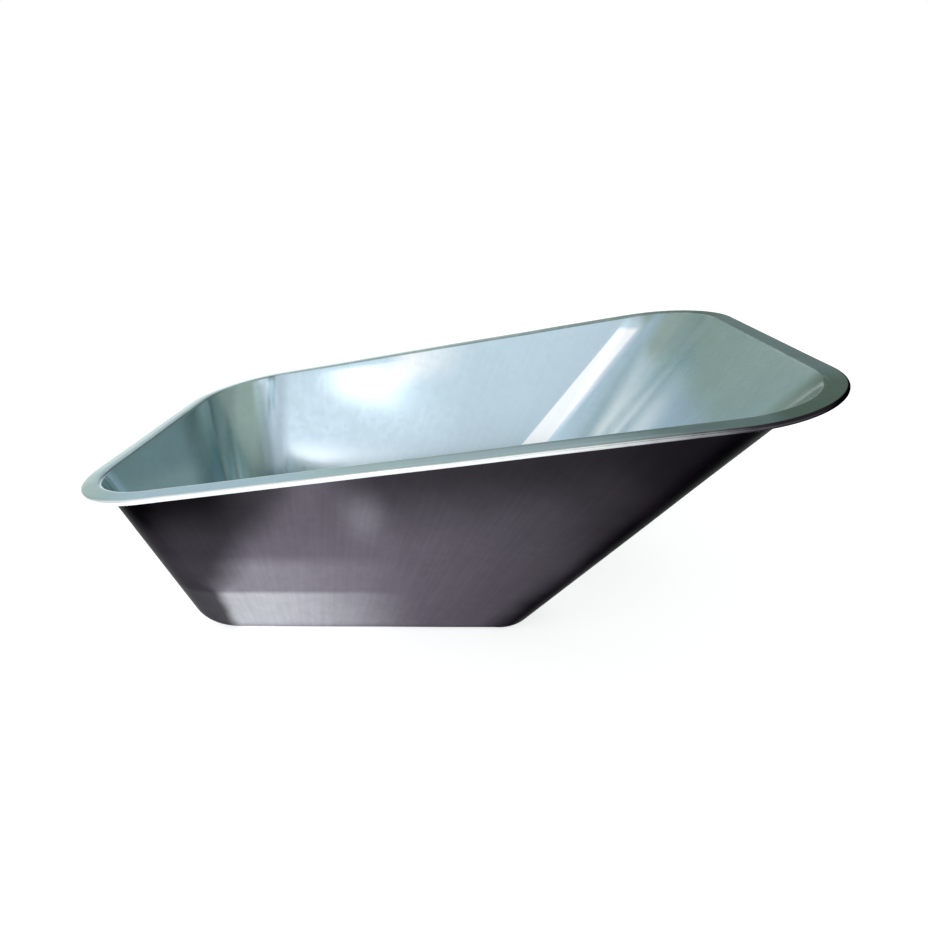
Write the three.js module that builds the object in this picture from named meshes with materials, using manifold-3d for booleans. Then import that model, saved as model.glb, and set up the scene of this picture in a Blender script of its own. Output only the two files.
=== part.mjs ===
// Wheelbarrow tray: one pan pressed from galvanised sheet, its edge curled round a steel wire.
//
// Millimetres. +X points to the front, where the wheel goes, +Y to the left and +Z up.
// The underside of the floor lies on z = 0, and the origin is under the middle of the whole tray.
// The pan's sizes are taken on the middle of its sheet.

import * as THREE from 'three';
import { mergeVertices } from 'three/addons/utils/BufferGeometryUtils.js';
import Module from 'manifold-3d';

// ---------------------------------------------------------------- driving dimensions

// The mouth is the opening inside the flange. It is wider at the front than at the back.
const MOUTH_LENGTH = 836;
const MOUTH_BACK_WIDTH = 478;
const MOUTH_FRONT_WIDTH = 564;
const MOUTH_BACK_RADIUS = 102;
const MOUTH_FRONT_RADIUS = 116;

// The floor is flat. Its lengths and radii are those where the walls would meet it with no bend.
const FLOOR_LENGTH = 486;
const FLOOR_BACK_WIDTH = 284;
const FLOOR_FRONT_WIDTH = 250;
const FLOOR_BACK_RADIUS = 77;
const FLOOR_FRONT_RADIUS = 51;
const FLOOR_SETBACK = 48; // from the mouth's back edge forward to the floor's back edge

// The mouth's height over the floor at its two ends: the rim rises to the front.
const BACK_DEPTH = 257;
const FRONT_DEPTH = 393;

// The sheet and its bends. The walls turn up from the floor in a bend that tightens to the front.
const SHEET = 0.8;
const FLOOR_BEND_BACK = 45;
const FLOOR_BEND_FRONT = 27;
const RIM_BEND = 5; // where the walls turn out into the flange

// The flange leaves the wall outward and droops a little, so that rain runs off it.
const FLANGE_WIDTH = 20;
const FLANGE_DROOP = THREE.MathUtils.degToRad(3);

// The wired edge: the sheet curls down, in and up again round a wire.
const WIRE_DIAMETER = 5;
const WIRE_CLEARANCE = 0.3;
const WIRE_JOINT = 3; // between the two ends of the wire, at the middle of the back edge
const CURL_TURN = THREE.MathUtils.degToRad(285);

// Four holes bolt the floor to a frame.
const BOLT_HOLE_DIAMETER = 9;
const BOLT_SPACING_X = 250;
const BOLT_SPACING_Y = 140;

// ---------------------------------------------------------------- fineness of the facets

const CORNER_STEPS = 12;
const RUN_STEPS = [4, 2, 4, 2]; // right side, front, left side, back: an even number at the back
const FLOOR_BEND_STEPS = 8;
const RIM_BEND_STEPS = 3;
const CURL_STEPS = 12;
const WIRE_SIDES = 12;
const HOLE_SIDES = 24;

// ---------------------------------------------------------------- derived sizes

const CURL_RADIUS = WIRE_DIAMETER / 2 + WIRE_CLEARANCE + SHEET / 2;
const RIM_SLOPE = (FRONT_DEPTH - BACK_DEPTH) / MOUTH_LENGTH;
const FLOOR_LEVEL = SHEET / 2;
const UP = new THREE.Vector3(0, 0, 1);

// ---------------------------------------------------------------- outlines

// Four corners in plan, counter-clockwise from the right-hand back corner.
function trapezoid(back, front, backWidth, frontWidth) {
  return [
    new THREE.Vector2(back, -backWidth / 2),
    new THREE.Vector2(front, -frontWidth / 2),
    new THREE.Vector2(front, frontWidth / 2),
    new THREE.Vector2(back, backWidth / 2),
  ];
}

// The arc that rounds corner k: its centre, radius, first angle and turn.
function cornerArc(corners, k, radius) {
  const corner = corners[k];
  const toLast = corners[(k + 3) % 4].clone().sub(corner).normalize();
  const toNext = corners[(k + 1) % 4].clone().sub(corner).normalize();
  const inward = toLast.clone().add(toNext).normalize();
  const halfAngle = Math.acos(toLast.dot(toNext)) / 2;
  const turn = Math.PI - 2 * halfAngle;
  return {
    centre: corner.clone().addScaledVector(inward, radius / Math.sin(halfAngle)),
    radius,
    start: Math.atan2(-inward.y, -inward.x) - turn / 2,
    turn,
  };
}

function arcStation(arc, share) {
  const angle = arc.start + arc.turn * share;
  const outward = new THREE.Vector2(Math.cos(angle), Math.sin(angle));
  return { point: arc.centre.clone().addScaledVector(outward, arc.radius), outward };
}

// Stations round an outline, each a point and its outward direction. They start at the middle of
// the back edge. Every outline has as many, so the floor's and the mouth's pair up one to one.
function roundedOutline(corners, radii) {
  const arcs = radii.map((radius, k) => cornerArc(corners, k, radius));
  const stations = [];
  arcs.forEach((arc, k) => {
    for (let step = 0; step <= CORNER_STEPS; step++) {
      stations.push(arcStation(arc, step / CORNER_STEPS));
    }
    const end = arcStation(arc, 1);
    const next = arcStation(arcs[(k + 1) % 4], 0);
    for (let step = 1; step < RUN_STEPS[k]; step++) {
      const point = end.point.clone().lerp(next.point, step / RUN_STEPS[k]);
      stations.push({ point, outward: end.outward.clone() });
    }
  });
  const middleOfBack = stations.length - RUN_STEPS[3] / 2;
  return [...stations.slice(middleOfBack), ...stations.slice(0, middleOfBack)];
}

const floorOutline = roundedOutline(
  trapezoid(0, FLOOR_LENGTH, FLOOR_BACK_WIDTH, FLOOR_FRONT_WIDTH),
  [FLOOR_BACK_RADIUS, FLOOR_FRONT_RADIUS, FLOOR_FRONT_RADIUS, FLOOR_BACK_RADIUS],
);
const mouthOutline = roundedOutline(
  trapezoid(-FLOOR_SETBACK, MOUTH_LENGTH - FLOOR_SETBACK, MOUTH_BACK_WIDTH, MOUTH_FRONT_WIDTH),
  [MOUTH_BACK_RADIUS, MOUTH_FRONT_RADIUS, MOUTH_FRONT_RADIUS, MOUTH_BACK_RADIUS],
);

function mouthHeight(x) {
  return FLOOR_LEVEL + BACK_DEPTH + RIM_SLOPE * (x + FLOOR_SETBACK);
}

// What the sheet does at each station: where floor, wall and flange would meet, which way each
// of them runs, and the directions along the two outlines.
const stations = floorOutline.map((floor, i) => {
  const mouth = mouthOutline[i];
  const floorCorner = new THREE.Vector3(floor.point.x, floor.point.y, FLOOR_LEVEL);
  const mouthCorner = new THREE.Vector3(mouth.point.x, mouth.point.y, mouthHeight(mouth.point.x));
  const floorOut = new THREE.Vector3(floor.outward.x, floor.outward.y, 0);
  const alongFloor = new THREE.Vector3().crossVectors(UP, floorOut);
  const { x, y } = mouth.outward;
  const alongMouth = new THREE.Vector3(-y, x, -y * RIM_SLOPE).normalize();
  const flangeOut = new THREE.Vector3(x, y, x * RIM_SLOPE - Math.tan(FLANGE_DROOP)).normalize();
  const flangeUp = new THREE.Vector3().crossVectors(flangeOut, alongMouth).normalize();
  return {
    floorBend: THREE.MathUtils.mapLinear(
      floor.point.x, 0, FLOOR_LENGTH, FLOOR_BEND_BACK, FLOOR_BEND_FRONT,
    ),
    floorCorner,
    mouthCorner,
    floorOut,
    wallUp: mouthCorner.clone().sub(floorCorner).normalize(),
    flangeOut,
    flangeUp,
    alongFloor,
    alongMouth,
    curlCentre: mouthCorner
      .clone()
      .addScaledVector(flangeOut, FLANGE_WIDTH)
      .addScaledVector(flangeUp, -CURL_RADIUS),
  };
});

// ---------------------------------------------------------------- the pan

// An arc from direction `first` through `turn` towards direction `side`, round `centre`.
// Each point carries the sheet's outer normal, square to the arc and to `along`.
function arcPoints(centre, radius, first, side, turn, steps, along) {
  const points = [];
  for (let step = 0; step <= steps; step++) {
    const angle = (turn * step) / steps;
    const heading = first
      .clone()
      .multiplyScalar(Math.cos(angle))
      .addScaledVector(side, Math.sin(angle));
    points.push({
      point: centre
        .clone()
        .addScaledVector(first, radius * Math.sin(angle))
        .addScaledVector(side, -radius * Math.cos(angle)),
      normal: new THREE.Vector3().crossVectors(along, heading).normalize(),
    });
  }
  return points;
}

// Rounds the corner where the sheet turns from one direction to another.
function bendPoints(corner, from, to, radius, steps, along) {
  const turn = from.angleTo(to);
  const side = to.clone().addScaledVector(from, -Math.cos(turn)).normalize();
  const centre = corner
    .clone()
    .addScaledVector(from, -radius * Math.tan(turn / 2))
    .addScaledVector(side, radius);
  return arcPoints(centre, radius, from, side, turn, steps, along);
}

// The middle of the sheet at one station, from the flat floor to the free end of the curl.
function panSection(s) {
  const down = s.flangeUp.clone().negate();
  return [
    ...bendPoints(
      s.floorCorner, s.floorOut, s.wallUp, s.floorBend, FLOOR_BEND_STEPS, s.alongFloor,
    ),
    ...bendPoints(s.mouthCorner, s.wallUp, s.flangeOut, RIM_BEND, RIM_BEND_STEPS, s.alongMouth),
    ...arcPoints(s.curlCentre, CURL_RADIUS, s.flangeOut, down, CURL_TURN, CURL_STEPS, s.alongMouth),
  ];
}

function geometryOf(positions, triangles) {
  const geometry = new THREE.BufferGeometry();
  geometry.setAttribute('position', new THREE.Float32BufferAttribute(positions, 3));
  geometry.setIndex(triangles);
  return geometry;
}

// Two skins half a sheet either side of the middle, closed at the curl's free end, with the
// flat floor across the first point of every section.
function panGeometry() {
  const sections = stations.map(panSection);
  const count = sections.length;
  const rows = sections[0].length;
  const positions = [];
  for (const offset of [SHEET / 2, -SHEET / 2]) {
    for (const { point, normal } of sections.flat()) {
      positions.push(...point.clone().addScaledVector(normal, offset).toArray());
    }
  }
  const outer = (i, j) => (i % count) * rows + j;
  const inner = (i, j) => outer(i, j) + count * rows;

  const triangles = [];
  const quad = (a, b, c, d) => triangles.push(a, b, c, a, c, d);
  for (let i = 0; i < count; i++) {
    for (let j = 0; j < rows - 1; j++) {
      quad(outer(i, j), outer(i + 1, j), outer(i + 1, j + 1), outer(i, j + 1));
      quad(inner(i, j), inner(i, j + 1), inner(i + 1, j + 1), inner(i + 1, j));
    }
    quad(outer(i, rows - 1), outer(i + 1, rows - 1), inner(i + 1, rows - 1), inner(i, rows - 1));
  }
  const floorRing = sections.map(([{ point }]) => new THREE.Vector2(point.x, point.y));
  for (const [a, b, c] of THREE.ShapeUtils.triangulateShape(floorRing, [])) {
    triangles.push(inner(a, 0), inner(b, 0), inner(c, 0));
    triangles.push(outer(a, 0), outer(c, 0), outer(b, 0));
  }
  return geometryOf(positions, triangles);
}

// ---------------------------------------------------------------- bolt holes

const wasm = await Module();
wasm.setup();

function toSolid(geometry) {
  geometry.deleteAttribute('normal');
  geometry.deleteAttribute('uv');
  const merged = mergeVertices(geometry);
  return new wasm.Manifold(new wasm.Mesh({
    numProp: 3,
    vertProperties: new Float32Array(merged.attributes.position.array),
    triVerts: new Uint32Array(merged.index.array),
  }));
}

function toGeometry(solid) {
  const mesh = solid.getMesh();
  return geometryOf(Array.from(mesh.vertProperties), Array.from(mesh.triVerts));
}

// The holes lie square to the tray, about the middle of the flat part of the floor.
function holeCentres() {
  const ring = stations.map((s) => panSection(s)[0].point.x);
  const middle = (Math.min(...ring) + Math.max(...ring)) / 2;
  return [-1, 1].flatMap((alongX) => [-1, 1].map((alongY) => new THREE.Vector2(
    middle + (alongX * BOLT_SPACING_X) / 2,
    (alongY * BOLT_SPACING_Y) / 2,
  )));
}

function punchHoles(geometry) {
  let solid = toSolid(geometry);
  for (const { x, y } of holeCentres()) {
    const radius = BOLT_HOLE_DIAMETER / 2;
    const punch = new THREE.CylinderGeometry(radius, radius, 10 * SHEET, HOLE_SIDES);
    punch.rotateX(Math.PI / 2);
    punch.translate(x, y, FLOOR_LEVEL);
    solid = solid.subtract(toSolid(punch));
  }
  return toGeometry(solid);
}

// ---------------------------------------------------------------- the wire

// One length of round wire bent to follow the curl, its ends a short gap apart at the back.
function wireGeometry() {
  const loop = [...stations, stations[0]];
  const last = loop.length - 1;
  const positions = [];
  loop.forEach((s, i) => {
    const centre = s.curlCentre.clone();
    if (i === 0) centre.addScaledVector(s.alongMouth, WIRE_JOINT / 2);
    if (i === last) centre.addScaledVector(s.alongMouth, -WIRE_JOINT / 2);
    for (let side = 0; side < WIRE_SIDES; side++) {
      const angle = (2 * Math.PI * side) / WIRE_SIDES;
      const rim = centre
        .clone()
        .addScaledVector(s.flangeOut, (WIRE_DIAMETER / 2) * Math.cos(angle))
        .addScaledVector(s.flangeUp, (WIRE_DIAMETER / 2) * Math.sin(angle));
      positions.push(...rim.toArray());
    }
  });
  const at = (i, side) => i * WIRE_SIDES + (side % WIRE_SIDES);
  const triangles = [];
  for (let side = 0; side < WIRE_SIDES; side++) {
    for (let i = 0; i < last; i++) {
      triangles.push(at(i, side), at(i + 1, side + 1), at(i, side + 1));
      triangles.push(at(i, side), at(i + 1, side), at(i + 1, side + 1));
    }
    if (side > 0 && side < WIRE_SIDES - 1) {
      triangles.push(at(0, 0), at(0, side), at(0, side + 1));
      triangles.push(at(last, 0), at(last, side + 1), at(last, side));
    }
  }
  return geometryOf(positions, triangles);
}

// ---------------------------------------------------------------- assembly

const zinc = new THREE.MeshStandardMaterial({ color: 0xb4c4cc, roughness: 0.35, metalness: 0.9 });
const wireSteel = new THREE.MeshStandardMaterial({ color: 0x8d9296, roughness: 0.5, metalness: 0.9 });

function named(name, geometry, material) {
  const mesh = new THREE.Mesh(geometry, material);
  mesh.name = name;
  return mesh;
}

const tray = new THREE.Group();
tray.add(named('tray_pan', punchHoles(panGeometry()), zinc));
tray.add(named('rim_wire', wireGeometry(), wireSteel));
tray.position.x = -new THREE.Box3().setFromObject(tray).getCenter(new THREE.Vector3()).x;

export default tray;
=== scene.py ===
"""Looks of the wheelbarrow tray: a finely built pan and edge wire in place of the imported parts.

Blender 4.5. Sizes are written in millimetres, as in the CAD source, and meshes are made in metres.
+X points to the front, +Y to the left and +Z up. The underside of the floor lies on z = 0.
"""

import math

import bmesh
import bpy
import numpy as np
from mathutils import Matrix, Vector, noise
from mathutils.geometry import delaunay_2d_cdt


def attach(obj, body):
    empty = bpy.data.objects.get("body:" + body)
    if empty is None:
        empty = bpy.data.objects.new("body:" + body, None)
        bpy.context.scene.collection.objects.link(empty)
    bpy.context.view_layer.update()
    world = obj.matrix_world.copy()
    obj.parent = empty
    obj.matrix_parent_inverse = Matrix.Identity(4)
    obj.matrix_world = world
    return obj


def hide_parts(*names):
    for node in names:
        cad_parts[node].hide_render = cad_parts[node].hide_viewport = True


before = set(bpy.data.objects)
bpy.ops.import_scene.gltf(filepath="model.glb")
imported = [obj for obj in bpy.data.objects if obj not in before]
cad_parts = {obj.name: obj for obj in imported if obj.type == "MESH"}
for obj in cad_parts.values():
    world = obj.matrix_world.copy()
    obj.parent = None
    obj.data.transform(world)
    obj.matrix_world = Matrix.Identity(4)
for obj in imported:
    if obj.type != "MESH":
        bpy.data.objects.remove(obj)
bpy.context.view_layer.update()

MM = 0.001

# ---------------------------------------------------------------- the tray's sizes, as in the CAD

MOUTH_LENGTH = 836
MOUTH_BACK_WIDTH = 478
MOUTH_FRONT_WIDTH = 564
MOUTH_BACK_RADIUS = 102
MOUTH_FRONT_RADIUS = 116

FLOOR_LENGTH = 486
FLOOR_BACK_WIDTH = 284
FLOOR_FRONT_WIDTH = 250
FLOOR_BACK_RADIUS = 77
FLOOR_FRONT_RADIUS = 51
FLOOR_SETBACK = 48

BACK_DEPTH = 257
FRONT_DEPTH = 393

SHEET = 0.8
FLOOR_BEND_BACK = 45
FLOOR_BEND_FRONT = 27
RIM_BEND = 5
FLANGE_WIDTH = 20
FLANGE_DROOP = math.radians(3)

WIRE_DIAMETER = 5
WIRE_CLEARANCE = 0.3
WIRE_JOINT = 3
CURL_TURN = math.radians(285)

BOLT_HOLE_DIAMETER = 9
BOLT_SPACING_X = 250
BOLT_SPACING_Y = 140

CURL_RADIUS = WIRE_DIAMETER / 2 + WIRE_CLEARANCE + SHEET / 2
RIM_SLOPE = (FRONT_DEPTH - BACK_DEPTH) / MOUTH_LENGTH
FLOOR_LEVEL = SHEET / 2

# ---------------------------------------------------------------- fineness of the visual mesh

CORNER_STEPS = 36
RUN_STEPS = [56, 30, 56, 24]  # right side, front, left side, back: an even number at the back
FLOOR_BEND_STEPS = 14
WALL_STEPS = 30
RIM_BEND_STEPS = 6
FLANGE_STEPS = 3
CURL_STEPS = 28
WIRE_SIDES = 20
HOLE_SIDES = 40
HOLE_GUARD = 3  # how far the ring of points round each hole lies from its edge
FLOOR_PITCH = 9  # between the points that fill the flat floor
FLOOR_INSETS = (0.985, 0.96)  # rings of points inside the floor's outline, as shares of its size
SAME_POINT = 0.00001  # points of the floor that lie nearer than this are one
INSIDE_OUTLINE = 1  # Blender's number for a triangulation that stops at the outline
SHARP_EDGE = math.radians(40)  # edges that turn by less are shaded smooth

# The pressed sheet is never quite true: how far it wanders, and over what length.
WANDER = 0.45
WANDER_LENGTH = 130
WANDER_FADE = 30  # height over which it starts, so that the floor stays flat on the ground
WANDER_SEED = 2  # fixed, because mathutils takes a new seed in every run


# ---------------------------------------------------------------- outlines

def unit(v):
    return v / np.linalg.norm(v, axis=-1, keepdims=True)


def trapezoid(back, front, back_width, front_width):
    """Four corners in plan, counter-clockwise from the right-hand back corner."""
    return np.array([
        (back, -back_width / 2),
        (front, -front_width / 2),
        (front, front_width / 2),
        (back, back_width / 2),
    ])


def corner_arc(corners, k, radius):
    """The stations round corner k: points and outward directions."""
    corner = corners[k]
    to_last = unit(corners[k - 1] - corner)
    to_next = unit(corners[(k + 1) % 4] - corner)
    inward = unit(to_last + to_next)
    half_angle = math.acos(to_last @ to_next) / 2
    turn = math.pi - 2 * half_angle
    centre = corner + inward * radius / math.sin(half_angle)
    start = math.atan2(-inward[1], -inward[0]) - turn / 2
    angles = start + turn * np.arange(CORNER_STEPS + 1) / CORNER_STEPS
    outward = np.stack([np.cos(angles), np.sin(angles)], -1)
    return centre + radius * outward, outward


def rounded_outline(corners, radii):
    """Stations round an outline, from the middle of its back edge."""
    arcs = [corner_arc(corners, k, radius) for k, radius in enumerate(radii)]
    points = []
    outwards = []
    for k, (arc_points, arc_outward) in enumerate(arcs):
        shares = np.arange(1, RUN_STEPS[k])[:, None] / RUN_STEPS[k]
        next_point = arcs[(k + 1) % 4][0][0]
        points += [arc_points, arc_points[-1] + (next_point - arc_points[-1]) * shares]
        outwards += [arc_outward, np.repeat(arc_outward[-1:], len(shares), 0)]
    shift = RUN_STEPS[3] // 2
    return np.roll(np.concatenate(points), shift, 0), np.roll(np.concatenate(outwards), shift, 0)


def lift(plan, z):
    """Plan vectors as space vectors at height z."""
    return np.column_stack([plan, np.broadcast_to(z, len(plan))])


floor_points, floor_outward = rounded_outline(
    trapezoid(0, FLOOR_LENGTH, FLOOR_BACK_WIDTH, FLOOR_FRONT_WIDTH),
    [FLOOR_BACK_RADIUS, FLOOR_FRONT_RADIUS, FLOOR_FRONT_RADIUS, FLOOR_BACK_RADIUS],
)
mouth_points, mouth_outward = rounded_outline(
    trapezoid(-FLOOR_SETBACK, MOUTH_LENGTH - FLOOR_SETBACK, MOUTH_BACK_WIDTH, MOUTH_FRONT_WIDTH),
    [MOUTH_BACK_RADIUS, MOUTH_FRONT_RADIUS, MOUTH_FRONT_RADIUS, MOUTH_BACK_RADIUS],
)
mouth_height = FLOOR_LEVEL + BACK_DEPTH + RIM_SLOPE * (mouth_points[:, 0] + FLOOR_SETBACK)

UP = np.array([0.0, 0.0, 1.0])
floor_corner = lift(floor_points, FLOOR_LEVEL)
mouth_corner = lift(mouth_points, mouth_height)
floor_out = lift(floor_outward, 0)
along_floor = np.cross(UP, floor_out)
wall_up = unit(mouth_corner - floor_corner)
out_x = mouth_outward[:, 0]
out_y = mouth_outward[:, 1]
along_mouth = unit(np.column_stack([-out_y, out_x, -out_y * RIM_SLOPE]))
flange_out = unit(lift(mouth_outward, out_x * RIM_SLOPE - math.tan(FLANGE_DROOP)))
flange_up = unit(np.cross(flange_out, along_mouth))
curl_centre = mouth_corner + flange_out * FLANGE_WIDTH - flange_up * CURL_RADIUS
STATIONS = len(floor_points)


# ---------------------------------------------------------------- sections of the pan

def arc_rows(centre, radius, first, side, turn, steps, along):
    """Rows of points on an arc at every station, and the sheet's outer normals there."""
    rows = []
    for share in np.arange(steps + 1) / steps:
        angle = np.broadcast_to(turn * share, STATIONS)[:, None]
        heading = first * np.cos(angle) + side * np.sin(angle)
        point = centre + radius * (first * np.sin(angle) - side * np.cos(angle))
        rows.append((point, unit(np.cross(along, heading))))
    return rows


def bend_rows(corner, start, end, radius, steps, along):
    """Rounds the corner where the sheet turns from one direction to another."""
    radius = np.broadcast_to(radius, STATIONS)[:, None]
    turn = np.arccos((start * end).sum(-1))
    side = unit(end - start * np.cos(turn)[:, None])
    centre = corner - start * radius * np.tan(turn / 2)[:, None] + side * radius
    return arc_rows(centre, radius, start, side, turn, steps, along)


def straight_rows(first, last, steps):
    """Rows strictly between two others."""
    shares = np.arange(1, steps) / steps
    return [
        (first[0] + (last[0] - first[0]) * t, unit(first[1] + (last[1] - first[1]) * t))
        for t in shares
    ]


forward = floor_points[:, 0] / FLOOR_LENGTH
floor_bend = FLOOR_BEND_BACK + (FLOOR_BEND_FRONT - FLOOR_BEND_BACK) * forward
floor_rows = bend_rows(floor_corner, floor_out, wall_up, floor_bend, FLOOR_BEND_STEPS, along_floor)
rim_rows = bend_rows(mouth_corner, wall_up, flange_out, RIM_BEND, RIM_BEND_STEPS, along_mouth)
curl_rows = arc_rows(
    curl_centre, CURL_RADIUS, flange_out, -flange_up, CURL_TURN, CURL_STEPS, along_mouth
)
pan_rows = [
    *floor_rows,
    *straight_rows(floor_rows[-1], rim_rows[0], WALL_STEPS),
    *rim_rows,
    *straight_rows(rim_rows[-1], curl_rows[0], FLANGE_STEPS),
    *curl_rows,
]
ROWS = len(pan_rows)
middle = np.stack([point for point, normal in pan_rows], 1)
normals = np.stack([normal for point, normal in pan_rows], 1)

outer_skin = middle + normals * SHEET / 2
inner_skin = middle - normals * SHEET / 2

# The tray is centred in X, as the CAD is.
skins_x = np.concatenate([outer_skin, inner_skin])[..., 0]
CENTRE_X = (skins_x.min() + skins_x.max()) / 2

noise.seed_set(WANDER_SEED)


def wander(points):
    """Moves points a little, smoothly, as pressing leaves a sheet a little out of true."""
    moved = np.array(points, float)
    for p in moved:
        push = noise.noise_vector(Vector(p) / WANDER_LENGTH)
        rise = min(1.0, max(0.0, p[2] / WANDER_FADE))
        p[0] += WANDER * push.x
        p[1] += WANDER * push.y
        p[2] += WANDER * push.z * rise
    return moved


def to_frame(points):
    return (wander(points) - (CENTRE_X, 0, 0)) * MM


# ---------------------------------------------------------------- the flat floor

def hole_centres():
    ring = floor_rows[0][0][:, 0]
    centre = (ring.min() + ring.max()) / 2
    return [
        (centre + sx * BOLT_SPACING_X / 2, sy * BOLT_SPACING_Y / 2)
        for sx in (-1, 1)
        for sy in (-1, 1)
    ]


def circle(x, y, radius):
    angles = 2 * math.pi * np.arange(HOLE_SIDES) / HOLE_SIDES
    return np.column_stack([x + radius * np.cos(angles), y + radius * np.sin(angles)])


def staggered_grid(low, high):
    """Rows of points a pitch apart, every other row shifted by half a pitch."""
    points = []
    shift = 0
    y = low[1] + FLOOR_PITCH / 2
    while y < high[1]:
        x = low[0] + FLOOR_PITCH / 2 + shift
        while x < high[0]:
            points.append((x, y))
            x += FLOOR_PITCH
        y += FLOOR_PITCH * math.sqrt(3) / 2
        shift = FLOOR_PITCH / 2 - shift
    return np.array(points)


def clear_of_edges(points, outline, holes):
    """The points that lie well inside the outline and outside the holes' guard rings."""
    keep = np.ones(len(points), bool)
    for start, along in zip(outline, np.roll(outline, -1, 0) - outline):
        rise = points[:, 1] - start[1]
        run = points[:, 0] - start[0]
        keep &= (along[0] * rise - along[1] * run) / np.linalg.norm(along) > FLOOR_PITCH / 2
    nearest = BOLT_HOLE_DIAMETER / 2 + HOLE_GUARD + FLOOR_PITCH / 2
    for x, y in holes:
        keep &= np.hypot(points[:, 0] - x, points[:, 1] - y) > nearest
    return points[keep]


def closed_ring(first, count):
    """The edges of a ring of points that are numbered one after another."""
    return [(first + i, first + (i + 1) % count) for i in range(count)]


def floor_mesh():
    """The floor in plan: its points, its triangles and each hole's ring of points.

    The ring of the walls comes first among the points, then the holes' rings."""
    ring = floor_rows[0][0][:, :2]
    centres = hole_centres()
    radius = BOLT_HOLE_DIAMETER / 2
    holes = [circle(x, y, radius) for x, y in centres]
    guards = [circle(x, y, radius + HOLE_GUARD) for x, y in centres]
    middle_of_ring = ring.mean(0)
    insets = [middle_of_ring + (ring - middle_of_ring) * share for share in FLOOR_INSETS]
    grid = clear_of_edges(staggered_grid(ring.min(0), ring.max(0)), insets[-1], centres)
    points = np.concatenate([ring, *holes, *guards, *insets, grid])
    hole_starts = [len(ring) + k * HOLE_SIDES for k in range(len(holes))]
    edges = closed_ring(0, len(ring))
    for start in hole_starts:
        edges += closed_ring(start, HOLE_SIDES)
    flat = [Vector(p) for p in points]
    placed, _, triangles, *_ = delaunay_2d_cdt(flat, edges, [], INSIDE_OUTLINE, SAME_POINT)
    assert len(placed) == len(points)
    plan = np.array([tuple(p) for p in placed])
    solid = [
        triangle for triangle in triangles
        if all(math.dist(plan[triangle].mean(0), centre) > radius for centre in centres)
    ]
    hole_rings = [list(range(start, start + HOLE_SIDES)) for start in hole_starts]
    return plan, solid, hole_rings


# ---------------------------------------------------------------- meshes

# Where each row lies along the section, in metres from the bend under the flange: the floor
# and walls are below zero, the flange and the curl above it.
section_step = np.linalg.norm(np.diff(middle, axis=1), axis=-1)
section_run = np.concatenate([np.zeros((STATIONS, 1)), np.cumsum(section_step, 1)], 1)
rim_row = FLOOR_BEND_STEPS + WALL_STEPS + RIM_BEND_STEPS // 2
section_run = (section_run - section_run[:, rim_row:rim_row + 1]) * MM

# Where each station lies round the edge, as a point on a circle as long as the edge, so that
# marks that run up the walls meet all the way round.
edge_step = np.linalg.norm(np.roll(mouth_corner, -1, 0) - mouth_corner, axis=-1)
edge_angle = 2 * math.pi * (np.cumsum(edge_step) - edge_step) / edge_step.sum()
edge_radius = edge_step.sum() / (2 * math.pi) * MM
edge_circle = edge_radius * np.column_stack([np.cos(edge_angle), np.sin(edge_angle)])


def sheet_run():
    """For every station and row: two places round the edge and one along the section."""
    around = np.repeat(edge_circle[:, None], ROWS, 1)
    return np.concatenate([around, section_run[..., None]], -1)


def make_piece(name, points, faces, materials, face_material, run=None):
    """An object from points in the CAD source's millimetres, smooth but for its sharp edges."""
    mesh = bpy.data.meshes.new(name)
    mesh.from_pydata([tuple(p) for p in to_frame(points)], [], faces)
    for material in materials:
        mesh.materials.append(material)
    mesh.polygons.foreach_set("material_index", face_material)
    if run is not None:
        attribute = mesh.attributes.new("sheet_run", "FLOAT_VECTOR", "POINT")
        attribute.data.foreach_set("vector", run.ravel())
    piece = bpy.data.objects.new(name, mesh)
    bpy.context.scene.collection.objects.link(piece)
    bm = bmesh.new()
    bm.from_mesh(mesh)
    bmesh.ops.recalc_face_normals(bm, faces=bm.faces)
    for face in bm.faces:
        face.smooth = True
    for edge in bm.edges:
        edge.smooth = edge.is_manifold and edge.calc_face_angle() < SHARP_EDGE
    bm.to_mesh(mesh)
    bm.free()
    return piece


# The pan's two materials, by number.
INSIDE = 0
OUTSIDE = 1


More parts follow.
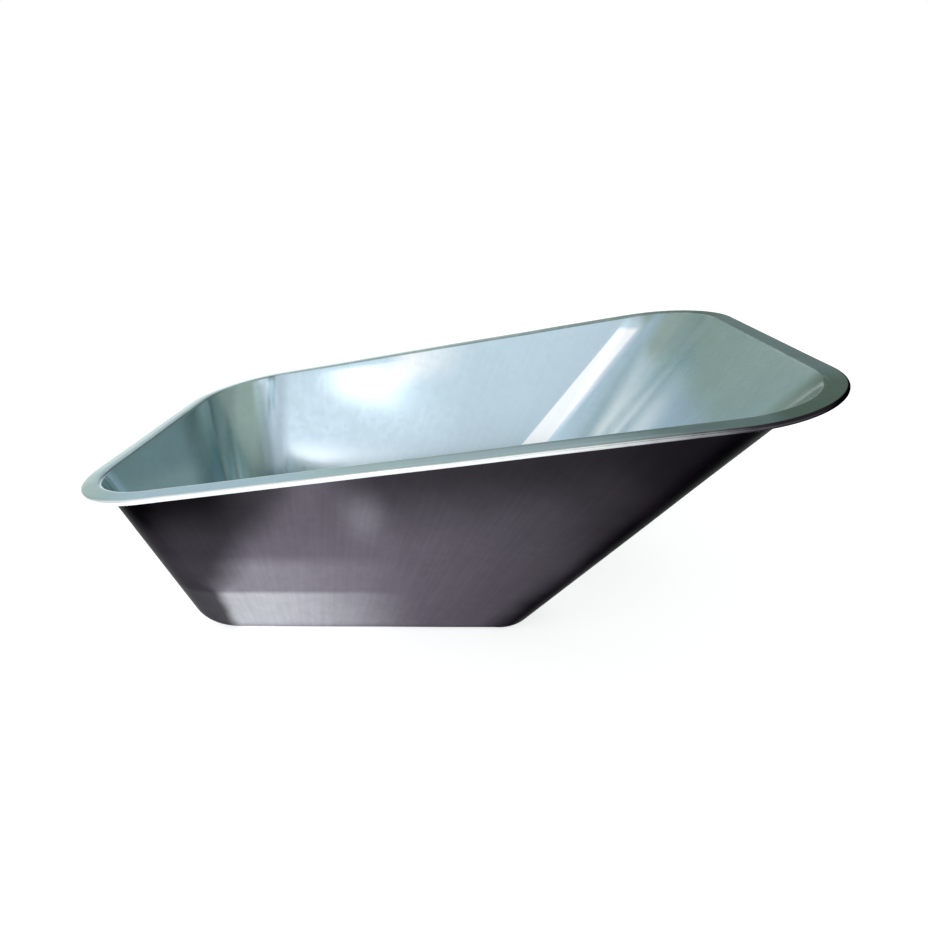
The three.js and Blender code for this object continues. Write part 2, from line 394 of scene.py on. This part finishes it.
def build_pan(materials):
    plan, floor_triangles, hole_rings = floor_mesh()
    extra = plan[STATIONS:]
    per_skin = STATIONS * ROWS
    points = np.concatenate([
        outer_skin.reshape(-1, 3),
        inner_skin.reshape(-1, 3),
        lift(extra, FLOOR_LEVEL - SHEET / 2),
        lift(extra, FLOOR_LEVEL + SHEET / 2),
    ])
    skin_run = sheet_run().reshape(-1, 3)
    floor_run = lift(extra * MM, section_run.min())
    run = np.concatenate([skin_run, skin_run, floor_run, floor_run])

    def skin(i, j, side):
        return (i % STATIONS) * ROWS + j + side * per_skin

    def on_floor(k, side):
        if k < STATIONS:
            return skin(k, 0, side)
        return 2 * per_skin + side * len(extra) + k - STATIONS

    faces = []
    face_material = []
    for i in range(STATIONS):
        for j in range(ROWS - 1):
            ring = [(i, j), (i + 1, j), (i + 1, j + 1), (i, j + 1)]
            faces.append(tuple(skin(a, b, 0) for a, b in ring))
            faces.append(tuple(skin(a, b, 1) for a, b in reversed(ring)))
            face_material += [OUTSIDE, INSIDE]
        end = ROWS - 1
        faces.append((skin(i, end, 0), skin(i + 1, end, 0), skin(i + 1, end, 1), skin(i, end, 1)))
        face_material.append(OUTSIDE)
    for triangle in floor_triangles:
        faces.append(tuple(on_floor(k, 1) for k in triangle))
        faces.append(tuple(on_floor(k, 0) for k in reversed(triangle)))
        face_material += [INSIDE, OUTSIDE]
    for ring in hole_rings:
        for a, b in zip(ring, ring[1:] + ring[:1]):
            faces.append((on_floor(a, 0), on_floor(b, 0), on_floor(b, 1), on_floor(a, 1)))
            face_material.append(OUTSIDE)
    return make_piece("pan", points, faces, materials, face_material, run)


def build_wire(material):
    ends = np.concatenate([curl_centre, curl_centre[:1]])
    outs = np.concatenate([flange_out, flange_out[:1]])
    ups = np.concatenate([flange_up, flange_up[:1]])
    ends[0] += along_mouth[0] * WIRE_JOINT / 2
    ends[-1] -= along_mouth[0] * WIRE_JOINT / 2
    angles = 2 * math.pi * np.arange(WIRE_SIDES) / WIRE_SIDES
    radius = WIRE_DIAMETER / 2
    points = (
        ends[:, None]
        + radius * np.cos(angles)[None, :, None] * outs[:, None]
        + radius * np.sin(angles)[None, :, None] * ups[:, None]
    ).reshape(-1, 3)
    faces = []
    for i in range(len(ends) - 1):
        for side in range(WIRE_SIDES):
            a = i * WIRE_SIDES + side
            b = i * WIRE_SIDES + (side + 1) % WIRE_SIDES
            faces.append((a, a + WIRE_SIDES, b + WIRE_SIDES, b))
    faces.append(tuple(range(WIRE_SIDES)))
    faces.append(tuple(range((len(ends) - 1) * WIRE_SIDES, len(ends) * WIRE_SIDES))[::-1])
    return make_piece("edge_wire_round", points, faces, [material], [0] * len(faces))


# ---------------------------------------------------------------- node helpers

def grey(level):
    return (level, level, level, 1.0)


WHITE = grey(1.0)


class Graph:
    """Short ways to add nodes to one node tree and join them."""

    def __init__(self, owner):
        owner.use_nodes = True
        self.tree = owner.node_tree
        self.tree.nodes.clear()

    def add(self, kind, **settings):
        node = self.tree.nodes.new(kind)
        for name, value in settings.items():
            setattr(node, name, value)
        return node

    def put(self, socket, value):
        """Sets a socket to a value, or joins it to another node's output."""
        if isinstance(value, bpy.types.NodeSocket):
            self.tree.links.new(value, socket)
        else:
            socket.default_value = value

    def math(self, operation, a, b=0.0, c=0.0):
        node = self.add("ShaderNodeMath", operation=operation)
        for socket, value in zip(node.inputs, (a, b, c)):
            self.put(socket, value)
        return node.outputs[0]

    def ramp(self, value, low, high, to_low=0.0, to_high=1.0):
        """A smooth step: to_low below low, to_high above high."""
        node = self.add("ShaderNodeMapRange", interpolation_type="SMOOTHSTEP")
        values = {
            "Value": value, "From Min": low, "From Max": high, "To Min": to_low, "To Max": to_high,
        }
        for name, v in values.items():
            self.put(node.inputs[name], v)
        return node.outputs["Result"]

    def straight_ramp(self, value, low, high):
        """A straight rise from 0 at low to 1 at high."""
        node = self.add("ShaderNodeMapRange")
        for name, v in {"Value": value, "From Min": low, "From Max": high}.items():
            self.put(node.inputs[name], v)
        return node.outputs["Result"]

    def mix(self, factor, a, b):
        """From colour a, where the factor is 0, to colour b, where it is 1."""
        node = self.add("ShaderNodeMix", data_type="RGBA")
        self.put(node.inputs["Factor"], factor)
        self.put(node.inputs[6], a)
        self.put(node.inputs[7], b)
        return node.outputs[2]

    def split(self, vector):
        node = self.add("ShaderNodeSeparateXYZ")
        self.put(node.inputs[0], vector)
        return node.outputs

    def camera_and_mirrored(self):
        """Two levels: 1 for rays from the camera, and 1 for rays that metal or glass has turned."""
        path = self.add("ShaderNodeLightPath").outputs
        mirrored = self.math("MAXIMUM", path["Is Glossy Ray"], path["Is Transmission Ray"])
        return path["Is Camera Ray"], mirrored

    def dot(self, vector, fixed):
        node = self.add("ShaderNodeVectorMath", operation="DOT_PRODUCT")
        self.put(node.inputs[0], vector)
        self.put(node.inputs[1], fixed)
        return node.outputs["Value"]

    def stretch(self, vector, scale):
        node = self.add("ShaderNodeVectorMath", operation="MULTIPLY")
        self.put(node.inputs[0], vector)
        self.put(node.inputs[1], scale)
        return node.outputs[0]

    def noise(self, vector, scale, detail=2.0, roughness=0.5):
        """Soft noise about 0.5."""
        node = self.add("ShaderNodeTexNoise")
        values = {"Vector": vector, "Scale": scale, "Detail": detail, "Roughness": roughness}
        for name, v in values.items():
            self.put(node.inputs[name], v)
        return node.outputs["Fac"]

    def cells(self, vector, scale):
        """A random level from 0 to 1 in each of many cells."""
        node = self.add("ShaderNodeTexVoronoi")
        self.put(node.inputs["Vector"], vector)
        self.put(node.inputs["Scale"], scale)
        return self.split(node.outputs["Color"])[0]

    def near(self, value, centre, first, full):
        """How near a value is to its centre: from 0 at `first` away to 1 at `full` and closer."""
        return self.ramp(self.math("ABSOLUTE", self.math("SUBTRACT", value, centre)), first, full)

    def times(self, *factors):
        product = factors[0]
        for factor in factors[1:]:
            product = self.math("MULTIPLY", product, factor)
        return product

    def stops(self, value, stops):
        """A colour by position along a run of stops that rises from 0 to 1."""
        node = self.add("ShaderNodeValToRGB")
        self.put(node.inputs[0], value)
        elements = node.color_ramp.elements
        for position, colour in stops[1:-1]:
            elements.new(position)
        for element, (position, colour) in zip(elements, stops):
            element.position = position
            element.color = (*colour, 1.0)
        return node.outputs["Color"]

    def bump(self, height, distance, under=None):
        node = self.add("ShaderNodeBump")
        self.put(node.inputs["Height"], height)
        self.put(node.inputs["Distance"], distance)
        if under is not None:
            self.put(node.inputs["Normal"], under)
        return node.outputs["Normal"]

    def surface(self, colour, roughness, normal, metallic=1.0, glancing=WHITE):
        """A metal, with the share of light it keeps at glancing angles."""
        shader = self.add("ShaderNodeBsdfPrincipled")
        self.put(shader.inputs["Specular Tint"], glancing)
        self.put(shader.inputs["Base Color"], colour)
        self.put(shader.inputs["Metallic"], metallic)
        self.put(shader.inputs["Roughness"], roughness)
        self.put(shader.inputs["Normal"], normal)
        out = self.add("ShaderNodeOutputMaterial")
        self.put(out.inputs["Surface"], shader.outputs[0])


# ---------------------------------------------------------------- materials

class Sheet(Graph):
    """What both faces of the galvanised sheet share: its places, spangle, marks and grain.

    Places are in metres. `x`, `y` and `z` are the tray's own, and `run` goes up the section: below
    0 on the floor and walls, up to 0.020 on the flange and above that on the curl."""

    def __init__(self, name):
        self.material = bpy.data.materials.new(name)
        super().__init__(self.material)
        self.colour = WHITE  # until a face sets its own
        self.place = self.add("ShaderNodeTexCoord").outputs["Object"]
        self.x, self.y, self.z = self.split(self.place)
        run = self.add("ShaderNodeAttribute", attribute_name="sheet_run").outputs["Vector"]
        self.run = self.split(run)[2]
        self.across = self.math("ABSOLUTE", self.y)
        self.on_wall = self.ramp(self.run, 0.001, -0.001)
        self.spangle = self.cells(self.feathered(), 95.0)
        self.cloud = self.noise(self.place, 7.0, 3.0)
        self.drawn = self.noise(self.stretch(run, (1.0, 1.0, 0.05)), 160.0, 3.0)
        self.fine = self.noise(self.place, 1100.0, 2.0)
        self.rim_mottle = self.noise(self.stretch(run, (1.0, 1.0, 3.0)), 42.0, 5.0, 0.65)

    def feathered(self):
        """Places pushed about a little, so that the spangle's crystals have ragged edges."""
        push = self.add("ShaderNodeTexNoise")
        self.put(push.inputs["Vector"], self.place)
        self.put(push.inputs["Scale"], 120.0)
        self.put(push.inputs["Detail"], 3.0)
        moved = self.add("ShaderNodeVectorMath", operation="MULTIPLY_ADD")
        self.put(moved.inputs[0], push.outputs["Color"])
        self.put(moved.inputs[1], (0.006, 0.006, 0.006))
        self.put(moved.inputs[2], self.place)
        return moved.outputs[0]

    def paint(self, tint, *places):
        """Lays a tint over the colour where all the places are 1, and weaker where they are less."""
        self.colour = self.mix(self.times(*places), self.colour, tint)

    def lean(self, value, slope):
        """A value measured from a line that leans by the slope as it goes up."""
        return self.math("MULTIPLY_ADD", self.z, -slope, value)

    def tone(self, spangle, cloud, drawn):
        """Lightens and darkens the colour by the spangle, soft clouds and marks of drawing."""
        level = self.ramp(self.spangle, 0.0, 1.0, 1.0 - spangle, 1.0 + spangle)
        level = self.math("MULTIPLY", level, self.ramp(self.cloud, 0.3, 0.7, 1.0 - cloud, 1.0 + cloud))
        level = self.math("MULTIPLY", level, self.ramp(self.drawn, 0.3, 0.7, 1.0 - drawn, 1.0 + drawn))
        combined = self.add("ShaderNodeVectorMath", operation="SCALE")
        self.put(combined.inputs[0], self.colour)
        self.put(combined.inputs["Scale"], level)
        self.colour = combined.outputs[0]

    def relief(self, drawn, grain):
        """Bumps, in metres: marks of drawing up the walls over the zinc's fine grain."""
        return self.bump(self.drawn, drawn, self.bump(self.fine, grain))


def paint_slope(g):
    """Painted highlight, reflection and shade inside the slope and its corners."""
    # Painted highlight low on the slope, most of all beside the corners.
    foot_highlight = g.times(g.ramp(g.z, 0.31, 0.24), g.ramp(g.x, 0.18, 0.25), g.ramp(g.across, 0.0, 0.10))
    g.paint((0.90, 0.97, 1.0, 1.0), foot_highlight, g.ramp(g.across, 0.165, 0.20, 1.0, 0.45))
    # Painted reflection: the upper half is a little greener.
    g.paint((0.54, 0.67, 0.665, 1.0), g.ramp(g.x, 0.325, 0.365), g.on_wall)
    # Painted shade: the corners are darker near the rim.
    corner = g.times(g.ramp(g.z, 0.29, 0.34), g.ramp(g.x, 0.315, 0.34))
    g.paint((0.37, 0.46, 0.435, 1.0), corner, g.ramp(g.across, 0.15, 0.22))


def paint_back_corners(g):
    """Inside the back corners: painted shade in their fold, darkest at its top, and lighter behind it.
    """
    # Painted shade in the fold of each back corner.
    fold = g.times(g.near(g.x, -0.327, 0.030, 0.008), g.ramp(g.across, 0.13, 0.17))
    g.paint((0.44, 0.535, 0.60, 1.0), fold, g.ramp(g.z, 0.05, 0.12), g.on_wall)
    # Painted shade, darkest, at the top of the fold.
    crease = g.times(g.near(g.x, -0.334, 0.0095, 0.003), g.ramp(g.across, 0.13, 0.17))
    g.paint((0.22, 0.295, 0.34, 1.0), crease, g.ramp(g.z, 0.19, 0.235), g.on_wall)
    # Lighter behind the fold.
    bay = g.times(g.near(g.x, -0.373, 0.026, 0.010), g.ramp(g.across, 0.16, 0.20))
    g.paint((0.78, 0.92, 1.0, 1.0), bay, g.ramp(g.z, 0.08, 0.16), g.on_wall)


def paint_lighter_sides(g):
    """Lighter places inside the side walls and on the flange, with painted highlights low on the walls
    and on the flange.
    """
    # Painted highlight low on the side walls.
    foot_highlight = g.times(g.ramp(g.z, 0.168, 0.128), g.ramp(g.z, 0.02, 0.06), g.ramp(g.across, 0.10, 0.13))
    g.paint((0.82, 0.91, 0.98, 1.0), foot_highlight, g.ramp(g.x, -0.316, -0.298), g.ramp(g.x, 0.02, -0.24))
    # Lighter on the sides below the middle of the rim, and a painted highlight on the back half of the
    # flange.
    lighter_middle = g.times(g.ramp(g.run, -0.075, -0.02), g.ramp(g.x, -0.13, -0.075), g.ramp(g.x, 0.07, -0.02))
    g.paint((0.90, 0.92, 0.92, 1.0), lighter_middle, g.on_wall)
    flange = g.times(g.ramp(g.run, 0.001, 0.003), g.ramp(g.run, 0.0205, 0.0195))
    g.paint((0.79, 0.96, 1.0, 1.0), flange, g.ramp(g.x, 0.10, -0.18))


def paint_corner_streak(g):
    """A painted reflection streak inside the walls beside the front corners.

    It is bright and leaning there, with painted shade behind and ahead of it."""
    behind = g.lean(g.x, 0.873)
    ahead = g.lean(g.x, 0.827)
    # Painted shade behind the streak.
    streak_side_shade = g.times(g.ramp(behind, -0.016, -0.025), g.ramp(g.x, -0.12, 0.06), g.ramp(g.z, 0.02, 0.08))
    g.paint((0.50, 0.605, 0.665, 1.0), streak_side_shade, g.on_wall)
    # Painted shade ahead of the streak, over part of the lamp's reflection.
    shoulder_shade = g.times(g.ramp(ahead, 0.026, 0.038), g.ramp(g.lean(g.x, 0.63), 0.132, 0.112))
    g.paint((0.42, 0.55, 0.62, 1.0), shoulder_shade, g.ramp(g.z, 0.10, 0.18), g.on_wall)
    # The painted reflection streak itself, white.
    painted_streak = g.times(g.ramp(behind, -0.025, -0.019), g.ramp(ahead, 0.029, 0.022))
    g.paint(WHITE, painted_streak, g.ramp(g.z, 0.361, 0.351), g.ramp(g.z, 0.04, 0.14))


def paint_rim(g):
    """Painted highlights on the bend at the rim and on the curl. Returns where the curl has painted
    shade.
    """
    on_curl = g.ramp(g.run, 0.0195, 0.0215)
    # Painted highlights on the curl and on the bend at the rim, in patches.
    curl_highlight = g.times(on_curl, g.ramp(g.rim_mottle, 0.32, 0.5, 0.75, 1.0))
    bend = g.times(g.ramp(g.run, -0.004, 0.0), g.ramp(g.run, 0.006, 0.001))
    bend = g.times(bend, g.ramp(g.rim_mottle, 0.45, 0.65, 0.0, 0.4))
    g.paint((0.93, 0.95, 0.96, 1.0), g.math("MAXIMUM", curl_highlight, bend))
    # Painted shade on the curl at the front and underneath.
    curl_shade = g.times(on_curl, g.ramp(g.math("MULTIPLY_ADD", g.rim_mottle, 0.10, g.x), 0.12, 0.38))
    curl_shade = g.math("MAXIMUM", curl_shade, g.ramp(g.run, 0.0272, 0.0286))
    g.paint((0.05, 0.042, 0.054, 1.0), curl_shade)
    return curl_shade


def inside_face():
    """The inner face, the flange's top and the outside of the curl: bright, clean zinc, with painted
    highlights, reflections and shade laid over it.
    """
    g = Sheet("zinc_inside")
    g.colour = (0.57, 0.69, 0.76, 1.0)
    paint_slope(g)
    paint_back_corners(g)
    paint_lighter_sides(g)
    paint_corner_streak(g)
    curl_shade = paint_rim(g)
    g.tone(0.018, 0.03, 0.01)

    roughness = g.ramp(g.spangle, 0.0, 1.0, 0.135, 0.155)
    roughness = g.math("MULTIPLY_ADD", g.ramp(g.cloud, 0.35, 0.7), 0.025, roughness)
    roughness = g.math("MULTIPLY_ADD", g.fine, 0.02, roughness)
    # The slope is scratched to a softer sheen than the other walls.
    slope = g.times(g.ramp(g.x, 0.20, 0.29), g.ramp(g.across, 0.21, 0.15))
    roughness = g.math("MULTIPLY_ADD", slope, 0.10, roughness)
    # Where the curl has painted shade, it also keeps less light at glancing angles.
    glancing = g.ramp(curl_shade, 0.0, 1.0, 1.0, 0.1)
    g.surface(g.colour, roughness, g.relief(0.000006, 0.000003), glancing=glancing)
    return g.material


# Near black, for painted shade.
PAINTED_SHADE = (0.012, 0.010, 0.013, 1.0)


def paint_outer_walls(g, along):
    """The outer walls' colour, painted shade and painted reflections. `along` is x with a wavering
    edge.
    """
    # Painted shade: darker towards the front, over 450 mm of the length, from the outside's own dull
    # mauve-grey at the back.
    g.colour = g.stops(g.straight_ramp(along, -0.15, 0.30), [
        (0.0, (0.165, 0.146, 0.180)),
        (0.11, (0.165, 0.146, 0.180)),
        (0.22, (0.148, 0.131, 0.162)),
        (0.33, (0.130, 0.115, 0.142)),
        (0.47, (0.102, 0.090, 0.112)),
        (0.60, (0.078, 0.068, 0.085)),
        (0.70, (0.055, 0.048, 0.060)),
        (0.84, (0.019, 0.016, 0.020)),
        (1.0, (0.004, 0.0035, 0.005)),
    ])
    # Painted reflections: pale low on the walls towards the back, in two steps.
    g.paint((0.48, 0.455, 0.52, 1.0), g.ramp(g.z, 0.172, 0.138), g.ramp(along, -0.01, -0.24), 0.42)
    low = g.times(g.ramp(g.z, 0.097, 0.086), g.ramp(g.z, 0.002, 0.03, 0.7, 1.0))
    g.paint((0.60, 0.605, 0.65, 1.0), low, g.ramp(along, -0.03, -0.25), 0.9)
    # Painted shade: the walls are darker higher up.
    g.paint(PAINTED_SHADE, g.ramp(g.z, 0.17, 0.23), g.ramp(along, 0.14, 0.04), 0.16)


def paint_under_slope(g, along):
    """Painted shade along the front corners and under the slope, whose middle is lighter, and lighter
    still in patches low down.
    """
    behind_edge = g.lean(g.math("SUBTRACT", 0.13, along), -0.768)
    # Painted shade along the front corners.
    g.paint((0.008, 0.007, 0.009, 1.0), g.ramp(behind_edge, 0.10, 0.045), 0.85)
    # Lighter in the middle under the slope, and in patches low down.
    middle = g.times(g.ramp(g.lean(g.across, 0.235), 0.085, 0.02), g.ramp(behind_edge, 0.045, 0.005))
    g.paint((0.20, 0.18, 0.215, 1.0), middle)
    lighter_patches = g.times(g.ramp(g.z, 0.17, 0.03), g.ramp(g.cloud, 0.35, 0.6, 0.35, 1.0))
    g.paint((0.42, 0.41, 0.45, 1.0), middle, lighter_patches)


def paint_outer_shade(g, along, near_rim):
    """Painted shade round the back corners and under the flange, and a lighter spot."""
    # The back corners' painted shade starts further forward higher up.
    above = g.math("MAXIMUM", g.math("SUBTRACT", g.z, 0.10), 0.0)
    reach = g.math("MULTIPLY_ADD", above, -0.75, along)
    first = g.ramp(g.z, 0.085, 0.12, -0.290, -0.262)
    full = g.ramp(g.z, 0.085, 0.12, -0.313, -0.336)
    g.paint((0.038, 0.034, 0.042, 1.0), g.ramp(reach, first, full), 0.9)
    # Painted shade under the flange, darkest at the back.
    g.paint(PAINTED_SHADE, g.ramp(near_rim, -0.16, -0.03), g.ramp(along, -0.15, -0.06), 0.72)
    under_back = g.times(g.ramp(near_rim, -0.11, -0.02), g.ramp(along, -0.20, -0.27))
    g.paint((0.005, 0.0045, 0.005, 1.0), under_back, 0.92)
    # A lighter spot lies below the flange on each side.
    lighter_spot = g.times(g.near(g.x, -0.090, 0.042, 0.0), g.near(g.z, 0.228, 0.062, 0.0))
    g.paint((0.205, 0.188, 0.225, 1.0), lighter_spot)


def outside_face():
    """The outer face: duller zinc, with painted shade darkest towards the front and painted
    reflections pale low at the back.
    """
    g = Sheet("zinc_outside")
    waver = g.math("MULTIPLY_ADD", g.noise(g.place, 9.0, 3.0), 0.05, -0.025)
    along = g.math("ADD", g.x, waver)
    paint_outer_walls(g, along)
    paint_under_slope(g, along)
    paint_outer_shade(g, along, g.math("ADD", g.run, waver))
    g.tone(0.04, 0.06, 0.04)

    roughness = g.ramp(g.spangle, 0.0, 1.0, 0.33, 0.38)
    roughness = g.math("MULTIPLY_ADD", g.ramp(g.cloud, 0.35, 0.7), 0.06, roughness)
    g.surface(g.colour, roughness, g.relief(0.00002, 0.000006), glancing=grey(0.4))
    return g.material


def wire_face():
    """Drawn steel wire: fine lines along it and a first bloom of rust."""
    material = bpy.data.materials.new("wire_steel")
    g = Graph(material)
    place = g.add("ShaderNodeTexCoord").outputs["Object"]
    lines = g.noise(place, 900.0, 3.0)
    patches = g.noise(place, 40.0, 4.0, 0.6)
    colour = g.mix(g.ramp(lines, 0.3, 0.7), (0.24, 0.25, 0.27, 1.0), (0.33, 0.34, 0.36, 1.0))
    colour = g.mix(g.ramp(patches, 0.56, 0.72, 0.0, 0.5), colour, (0.16, 0.085, 0.05, 1.0))
    roughness = g.ramp(patches, 0.4, 0.7, 0.38, 0.6)
    metallic = g.ramp(patches, 0.56, 0.72, 1.0, 0.6)
    g.surface(colour, roughness, g.bump(lines, 0.00003), metallic)
    return material


pan = build_pan([inside_face(), outside_face()])
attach(pan, "root")
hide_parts("tray_pan")

wire = build_wire(wire_face())
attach(wire, "root")
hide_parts("rim_wire")

# ---------------------------------------------------------------- camera

SENSOR_WIDTH = 36  # millimetres, as is the lens
LENS = 24.459
CAMERA_PLACE = (0.0457, -0.8621, 0.5709)
CAMERA_DOWN = 0.4014  # radians below level
CAMERA_LEFT = 0.0281  # radians to the left of straight ahead

camera_data = bpy.data.cameras.new("camera")
camera_data.sensor_width = SENSOR_WIDTH
camera_data.lens = LENS
camera = bpy.data.objects.new("camera", camera_data)
camera.location = CAMERA_PLACE
camera.rotation_euler = (math.pi / 2 - CAMERA_DOWN, 0, CAMERA_LEFT)
bpy.context.scene.collection.objects.link(camera)
bpy.context.scene.camera = camera

# ---------------------------------------------------------------- lamps

LAMP_TARGET = Vector((0, 0, 0.25))  # near the middle of the tray


def direction(azimuth, elevation):
    """A unit vector from two angles in degrees: azimuth 0 is the camera's side, -Y, and 90 is +X."""
    a = math.radians(azimuth)
    e = math.radians(elevation)
    return (math.sin(a) * math.cos(e), -math.cos(a) * math.cos(e), math.sin(e))


def softbox(name, toward, distance, size, radiance):
    """A rectangular lamp that faces the tray, with its size in metres and its face's brightness."""
    data = bpy.data.lights.new(name, "AREA")
    data.shape = "RECTANGLE"
    data.size, data.size_y = size
    data.energy = radiance * math.pi * size[0] * size[1]
    lamp = bpy.data.objects.new(name, data)
    lamp.visible_camera = False
    bpy.context.scene.collection.objects.link(lamp)
    lamp.location = LAMP_TARGET + Vector(toward) * distance
    lamp.rotation_euler = (-Vector(toward)).to_track_quat("-Z", "Y").to_euler()


# A small panel close by, whose glow lies on the far wall, and a window low on the camera's left.
softbox("panel", direction(-24.6, 31), 1.19, (0.27, 0.15), 1.5)
softbox("low_window", direction(-31, 9), 6.0, (3.0, 1.8), 1.5)

# ---------------------------------------------------------------- ground and room

GROUND_HALF = 30.0
GROUND_GAP = 0.0005  # keeps the ground clear of the tray's underside
GROUND_GREY = 0.86
GROUND_GLOW = 0.72  # added where it is seen or mirrored, so that it is white but for the shadow


def pale_ground():
    material = bpy.data.materials.new("pale_ground")
    g = Graph(material)
    diffuse = g.add("ShaderNodeBsdfDiffuse")
    g.put(diffuse.inputs["Color"], grey(GROUND_GREY))
    glow = g.add("ShaderNodeEmission")
    seen = g.math("MAXIMUM", *g.camera_and_mirrored())
    g.put(glow.inputs["Strength"], g.math("MULTIPLY", seen, GROUND_GLOW))
    both_shaders = g.add("ShaderNodeAddShader")
    g.put(both_shaders.inputs[0], diffuse.outputs[0])
    g.put(both_shaders.inputs[1], glow.outputs[0])
    out = g.add("ShaderNodeOutputMaterial")
    g.put(out.inputs["Surface"], both_shaders.outputs[0])
    return material


ground_data = bpy.data.meshes.new("ground")
quarters = [(-1, -1), (1, -1), (1, 1), (-1, 1)]
ground_corners = [(sx * GROUND_HALF, sy * GROUND_HALF, 0) for sx, sy in quarters]
ground_data.from_pydata(ground_corners, [], [(0, 1, 2, 3)])
ground_data.materials.append(pale_ground())
ground = bpy.data.objects.new("ground", ground_data)
ground.location.z = -GROUND_GAP
bpy.context.scene.collection.objects.link(ground)


# The room's darker and lighter parts, painted one over another: the direction of each, how many
# degrees from it the part begins and is full, and its colour.
ROOM_PARTS = [
    (direction(150, 24), 50, 15, (0.17, 0.215, 0.19)),
    (direction(-127, 37), 19, 7, (0.53, 0.63, 0.64)),
    (direction(-147, 19), 12, 4, (0.43, 0.50, 0.57)),
    (direction(-168, 38), 21, 7, (0.54, 0.60, 0.60)),
    (direction(14, 28), 20, 5, (0.52, 0.60, 0.58)),
    (direction(-85, 36), 42, 16, (0.75, 0.80, 0.80)),
    (direction(-32, 28), 42, 12, (0.98, 1.01, 1.05)),
    (direction(0, 36), 18, 6, (1.06, 1.12, 1.17)),
]
# The white backdrop: mirrored whole up to the first angle above the ground, and gone by the second.
BACKDROP_WHOLE = math.radians(2)
BACKDROP_GONE = math.radians(9)


def studio_world():
    """A soft room, pale on the camera's left and dim on the right, behind a white backdrop.

    The camera sees the backdrop everywhere. The metal mirrors it low down and the room above."""
    world = bpy.data.worlds.new("studio")
    g = Graph(world)
    look = g.add("ShaderNodeTexCoord").outputs["Generated"]
    x, _, z = g.split(look)
    room = g.mix(g.ramp(x, -0.28, 0.30), (0.40, 0.47, 0.42, 1.0), (0.33, 0.385, 0.33, 1.0))
    for toward, first, full, colour in ROOM_PARTS:
        cosine = g.dot(look, toward)
        part = g.ramp(cosine, math.cos(math.radians(first)), math.cos(math.radians(full)))
        room = g.mix(part, room, (*colour, 1.0))
    from_camera, mirrored = g.camera_and_mirrored()
    low = g.ramp(z, math.sin(BACKDROP_GONE), math.sin(BACKDROP_WHOLE))
    backdrop = g.math("MAXIMUM", from_camera, g.math("MULTIPLY", mirrored, low))
    background = g.add("ShaderNodeBackground")
    g.put(background.inputs["Color"], g.mix(backdrop, room, WHITE))
    out = g.add("ShaderNodeOutputWorld")
    g.put(out.inputs["Surface"], background.outputs[0])
    return world


bpy.context.scene.world = studio_world()
bpy.context.scene.view_settings.view_transform = "Standard"
